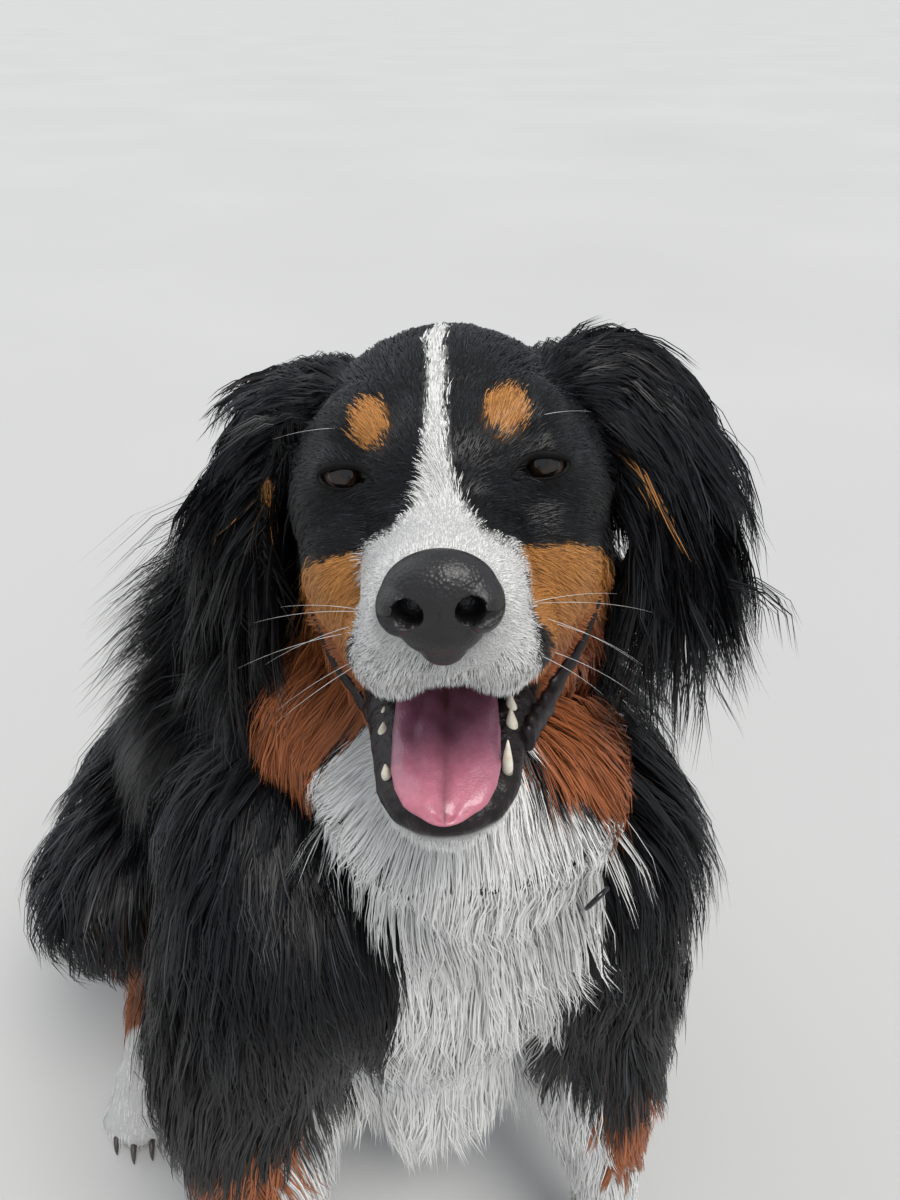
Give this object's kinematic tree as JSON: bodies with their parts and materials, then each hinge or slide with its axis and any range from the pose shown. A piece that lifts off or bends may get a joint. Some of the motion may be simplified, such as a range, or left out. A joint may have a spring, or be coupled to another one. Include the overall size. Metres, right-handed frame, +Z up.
{
  "type": "bernese mountain dog model",
  "caption": "Life-size still model of a Bernese mountain dog, sitting and looking up with its mouth open, in a long black, white and rust coat and a collar.",
  "frame": {"origin": "middle of the dog's footprint on the floor", "axes": "+Z up; the forequarters face -Y; +X to the dog's left"},
  "size_m": [0.5658, 1.0072, 0.8192],
  "materials": {
    "coat": "long soft coat, black with white and rust markings",
    "nose": "moist pebbled black skin",
    "tongue": "moist pink",
    "eye": "wet dark brown",
    "lips": "moist black-brown skin of lips and lids",
    "mouth": "moist pink lining of the mouth",
    "teeth": "ivory enamel",
    "claws": "dark horn",
    "collar": "black woven band",
    "ring": "glossy black"
  },
  "bodies": {
    "root": {"head": "coat", "lower_jaw": "coat", "nose_pad": "nose", "tongue": "tongue", "eye_right": "eye", "eye_left": "eye", "ear_right": "coat", "ear_left": "coat", "neck": "coat", "chest": "coat", "loin": "coat", "rump": "coat", "tail": "coat", "upper_arm_right": "coat", "upper_arm_left": "coat", "forearm_right": "coat", "forearm_left": "coat", "front_paw_right": "coat", "front_paw_left": "coat", "thigh_right": "coat", "thigh_left": "coat", "lower_leg_right": "coat", "lower_leg_left": "coat", "hind_foot_right": "coat", "hind_foot_left": "coat", "collar": "collar", "collar_ring": "ring"}
  },
  "joints": []
}
